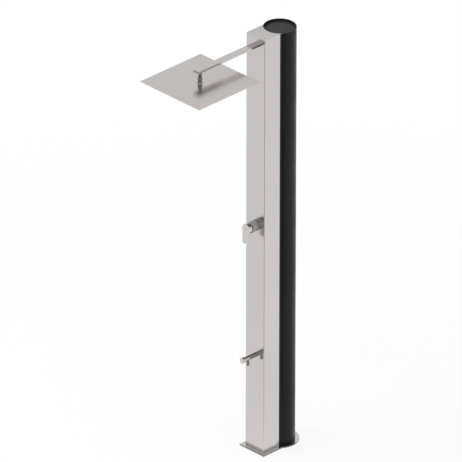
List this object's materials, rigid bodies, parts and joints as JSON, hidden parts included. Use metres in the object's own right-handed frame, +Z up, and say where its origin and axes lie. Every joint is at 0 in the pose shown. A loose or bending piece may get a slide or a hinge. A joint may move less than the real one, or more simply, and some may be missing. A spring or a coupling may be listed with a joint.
{
  "type": "outdoor shower post",
  "caption": "Free-standing solar shower: steel channel column with a round black water tank in its back, flat arm with square rain head, lever mixer and foot tap.",
  "frame": {"origin": "on the floor under the axis of the round tank, at the underside of the base plate", "axes": "+Z up along the post, -Y out of the front face towards the user, +X to the right side of the column"},
  "size_m": [0.4, 0.826, 2.23],
  "materials": {
    "brushed_steel": "satin stainless steel that mirrors softly",
    "polished_steel": "polished stainless steel",
    "chrome": "polished",
    "dark_chrome": "polished, dark nickel tone",
    "zinc_steel": "plain stainless steel, mill finish",
    "black_tank": "matt black polyethylene",
    "black_rubber": "matt black rubber",
    "silicone": "grey silicone",
    "brass": "turned brass",
    "water_pipe": "white multilayer water pipe",
    "white_plastic": "white acetal"
  },
  "bodies": {
    "post": {"column_shell": "brushed_steel", "column_top_cap": "brushed_steel", "shower_arm": "brushed_steel", "base_plate": "polished_steel", "mixer_body": "chrome", "inlet_nipple": "chrome", "arm_stem": "dark_chrome", "foot_tap_body": "dark_chrome", "foot_tap_spout": "dark_chrome", "foot_tap_aerator": "dark_chrome", "tank_ring": "zinc_steel", "foot_bracket": "zinc_steel", "tank_bracket_lower": "zinc_steel", "tank_bracket_middle": "zinc_steel", "tank_bracket_upper": "zinc_steel", "tank_bracket_screws": "zinc_steel", "arm_flange": "zinc_steel", "arm_studs": "zinc_steel", "arm_flange_nuts": "zinc_steel", "tank_tube": "black_tank", "tank_top_cap": "black_tank", "tank_bottom_cap": "black_tank", "drain_plug": "black_tank", "edge_trim_left": "black_rubber", "edge_trim_right": "black_rubber", "top_cap_seal": "black_rubber", "bottom_cap_seal": "black_rubber", "drain_washer": "black_rubber", "mixer_gasket": "black_rubber", "foot_tap_gasket": "black_rubber", "inlet_backnut": "brass", "cold_manifold": "brass", "mixer_manifold": "brass", "tank_inlet_fitting": "brass", "tank_outlet_fitting": "brass", "arm_inlet": "brass", "mixer_backnut": "brass", "mixer_cartridge_nut": "brass", "foot_tap_backnut": "brass", "foot_tap_valve": "brass", "cold_riser": "water_pipe", "tank_feed_pipe": "water_pipe", "tap_feed_pipe": "water_pipe", "hot_pipe": "water_pipe", "mixed_riser": "water_pipe", "mixer_cartridge": "white_plastic"},
    "mixer_turret_body": {"mixer_turret": "white_plastic"},
    "mixer_lever": {"mixer_lever_pin": "brass", "mixer_handle": "chrome", "mixer_grub_screw": "chrome"},
    "tap_knob": {"foot_tap_spindle": "brass", "foot_tap_knob": "chrome"},
    "upper_seat": {"ball_seat_upper": "white_plastic"},
    "lower_seat": {"ball_seat_lower": "white_plastic"},
    "rain_head": {"head_swivel_nut": "dark_chrome", "head_collar": "chrome", "head_plate": "brushed_steel", "head_nozzle_plate": "brushed_steel", "head_nozzles": "silicone"}
  },
  "joints": [
    {"name": "mixer_temperature", "type": "hinge", "parent": "post", "child": "mixer_turret_body", "pos_m": [0, -0.19, 1.217], "axis": [0, -1, 0], "range_deg": [-40, 40]},
    {"name": "mixer_flow", "type": "hinge", "parent": "mixer_turret_body", "child": "mixer_lever", "pos_m": [0, -0.191, 1.217], "axis": [-1, 0, 0], "range_deg": [0, 18]},
    {"name": "foot_tap_turn", "type": "hinge", "parent": "post", "child": "tap_knob", "pos_m": [0, -0.24, 0.516], "axis": [0, -1, 0], "range_deg": [0, 90]},
    {"name": "head_tilt_forward", "type": "hinge", "parent": "post", "child": "upper_seat", "pos_m": [0, -0.526, 2.144], "axis": [1, 0, 0], "range_deg": [-11, 11]},
    {"name": "head_tilt_side", "type": "hinge", "parent": "upper_seat", "child": "lower_seat", "pos_m": [0, -0.526, 2.144], "axis": [0, 1, 0], "range_deg": [-11, 11]},
    {"name": "head_spin", "type": "hinge", "parent": "lower_seat", "child": "rain_head", "pos_m": [0, -0.526, 2.144], "axis": [0, 0, 1], "continuous": true}
  ]
}
